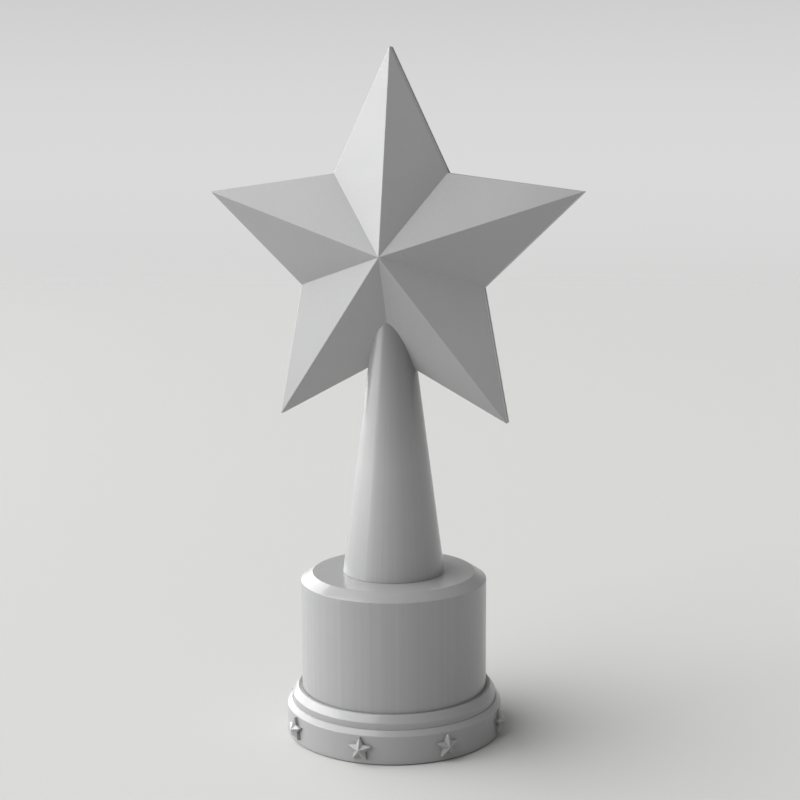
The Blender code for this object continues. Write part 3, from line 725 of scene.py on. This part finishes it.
def makeBadges():
    look = badgeLook
    low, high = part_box("base_star_1")
    back = -low.y - look["peak"]
    pattern = newObject("badge_pattern", bpy.data.meshes.new("badge_pattern"))
    shapeStar(pattern, {
        "Points": look["points"], "Tip radius": look["tipRadius"],
        "Valley radius": look["valleyRadius"], "Peak": look["peak"], "Rim": look["rim"],
        "Groove half": look["rim"] / 2, "Groove scale": 1.0, "Detail": look["detail"]},
        look["round"])

    badges = newObject("base_stars", bpy.data.meshes.new("base_stars"))
    ring = badges.modifiers.new("ring", "NODES")
    ring.node_group = makeRingTree()
    setInput(ring, "Badge", pattern)
    setInput(ring, "Count", look["count"])
    setInput(ring, "Radius", back)
    setInput(ring, "Height", (low.z + high.z) / 2)
    setInput(ring, "Material", castLacquer)
    settle(badges)
    bpy.data.objects.remove(pattern)
    dress(badges, "lacquer", *(f"base_star_{i + 1}" for i in range(look["count"])))


makeBadges()
print("small stars made")


# a punched felt disc: soft cut edge, and a surface that sinks between its tangled tufts
feltSize = {"edgeRound": 0.5 * mm, "spacing": 1.0 * mm, "tuft": 2.4 * mm, "sink": 0.16 * mm}


def makeFeltPad():
    look = feltSize
    low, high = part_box("felt_pad")
    pad = turnedPiece("felt_disc", [
        (0.0, high.z, 0), (high.x, high.z, look["edgeRound"]),
        (high.x, low.z, look["edgeRound"]), (0.0, low.z, 0)], wool, closed=False,
        steps=240, spacing=look["spacing"])
    bm = bmesh.new()
    bm.from_mesh(pad.data)
    bm.normal_update()
    for vertex in bm.verts:
        depth = 0.5 + 0.5 * noise.fractal(vertex.co / look["tuft"], 0.6, 2.0, 3)
        vertex.co -= vertex.normal * look["sink"] * min(max(depth, 0.0), 1.0)
    bm.to_mesh(pad.data)
    bm.free()
    dress(pad, "felt", "felt_pad")


makeFeltPad()
print("felt made")


finishOf = {"steel": platedSteel, "zinc": dieCastZinc, "iron": castIron, "felt": wool,
            "lacquer": castLacquer}
for entry in frame["record"]["subparts"]:
    node = frame["nodes"][entry["node"]]
    for materialSlot in node.material_slots:
        materialSlot.material = finishOf[entry["material_slot"]]
print("carried-over pieces finished")


studio = {
    "floorColour": "#bebebd",
    "floorRadius": 6.0,
    "fadeFrom": 0.5,             # past here the floor melts into the air, so no horizon shows
    "fadeTo": 4.5,
    "toothSize": 1.5 * mm,       # the paper's grain
    "toothHeight": 0.02 * mm,
    "airColour": "#ffffff",
    "airAtHorizon": 0.70,
    "airOverhead": 0.32,
    "horizonBand": math.sin(math.radians(22)),
}
lights = {
    # far, broad softboxes: bearing is round from -Y towards +X, spread is how wide each looks
    "key": {"bearing": -60, "height": 44, "spread": 70, "strength": 2.85},
    "left": {"bearing": -120, "height": 14, "spread": 54, "strength": 2.4},
    "frontLeft": {"bearing": -70, "height": 14, "spread": 56, "strength": 1.9},
}


def makeFloor():
    look = studio
    material, tree = newMaterial("pale_paper_sweep")
    place = addNode(tree, "ShaderNodeTexCoord").outputs["Object"]
    tooth = addNode(tree, "ShaderNodeTexNoise",
                    {"Vector": place, "Scale": 1 / look["toothSize"], "Detail": 3.0})
    bump = addNode(tree, "ShaderNodeBump",
                   {"Height": tooth.outputs["Fac"], "Distance": look["toothHeight"]})
    shader = addNode(tree, "ShaderNodeBsdfPrincipled",
                     {"Base Color": linear(look["floorColour"]), "Roughness": 0.8,
                      "Specular IOR Level": 0.2, "Normal": bump.outputs["Normal"]})
    out = addNode(tree, "ShaderNodeVectorMath", {0: place}, operation="LENGTH")
    fade = addNode(tree, "ShaderNodeMapRange",
                   {"Value": out.outputs["Value"], "From Min": look["fadeFrom"],
                    "From Max": look["fadeTo"]}, interpolation_type="SMOOTHSTEP")
    clear = addNode(tree, "ShaderNodeBsdfTransparent")
    blend = addNode(tree, "ShaderNodeMixShader",
                    {0: fade.outputs["Result"], 1: shader.outputs["BSDF"], 2: clear.outputs["BSDF"]})
    addNode(tree, "ShaderNodeOutputMaterial", {"Surface": blend.outputs["Shader"]})
    mesh = bpy.data.meshes.new("studio_floor")
    bm = bmesh.new()
    bmesh.ops.create_circle(bm, cap_ends=True, segments=96, radius=look["floorRadius"])
    bm.to_mesh(mesh)
    bm.free()
    mesh.materials.append(material)
    newObject("studio_floor", mesh)


def makeLights():
    for name, look in lights.items():
        bearing, height = math.radians(look["bearing"]), math.radians(look["height"])
        away = Vector((math.sin(bearing) * math.cos(height), -math.cos(bearing) * math.cos(height),
                       math.sin(height)))
        data = bpy.data.lights.new(name, "SUN")
        data.angle = math.radians(look["spread"])
        data.energy = look["strength"]
        lamp = newObject(name, data)
        lamp.location = away
        lamp.rotation_euler = away.to_track_quat("Z", "Y").to_euler()


def makeAir():
    look = studio
    world = bpy.data.worlds.new("studio_air")
    world.use_nodes = True
    tree = world.node_tree
    tree.nodes.clear()
    way = addNode(tree, "ShaderNodeTexCoord").outputs["Generated"]
    parts = addNode(tree, "ShaderNodeSeparateXYZ", {"Vector": way})
    slope = addNode(tree, "ShaderNodeMath", {0: parts.outputs["Z"]}, operation="ABSOLUTE")
    strength = addNode(tree, "ShaderNodeMapRange",
                       {"Value": slope.outputs["Value"], "From Max": look["horizonBand"],
                        "To Min": look["airAtHorizon"], "To Max": look["airOverhead"]},
                       interpolation_type="SMOOTHSTEP")
    glow = addNode(tree, "ShaderNodeBackground", {"Color": linear(look["airColour"]),
                                                  "Strength": strength.outputs["Result"]})
    addNode(tree, "ShaderNodeOutputWorld", {"Surface": glow.outputs["Background"]})
    bpy.context.scene.world = world


# the camera stands to the right of the star's front, a little above its middle, looking down
cameraLook = {"bearing": 17.5, "away": 646.5 * mm, "height": 247.7 * mm, "lens": 67.18,
              "dip": 8.709, "pan": 0.275, "roll": 0.2235}


def makeCamera():
    look = cameraLook
    data = bpy.data.cameras.new("portrait")
    data.lens = look["lens"]
    data.sensor_width = 36.0
    camera = newObject("portrait", data)
    aim = (Matrix.Rotation(math.radians(look["bearing"]), 4, "Z")
           @ Matrix.Translation((0.0, -look["away"], look["height"]))
           @ Matrix.Rotation(math.radians(-look["pan"]), 4, "Z")
           @ Matrix.Rotation(math.radians(90 - look["dip"]), 4, "X")
           @ Matrix.Rotation(math.radians(-look["roll"]), 4, "Z"))
    camera.matrix_world = aim
    bpy.context.scene.camera = camera


makeFloor()
makeLights()
makeAir()
makeCamera()
bpy.context.scene.view_settings.view_transform = "Standard"
print("studio set")
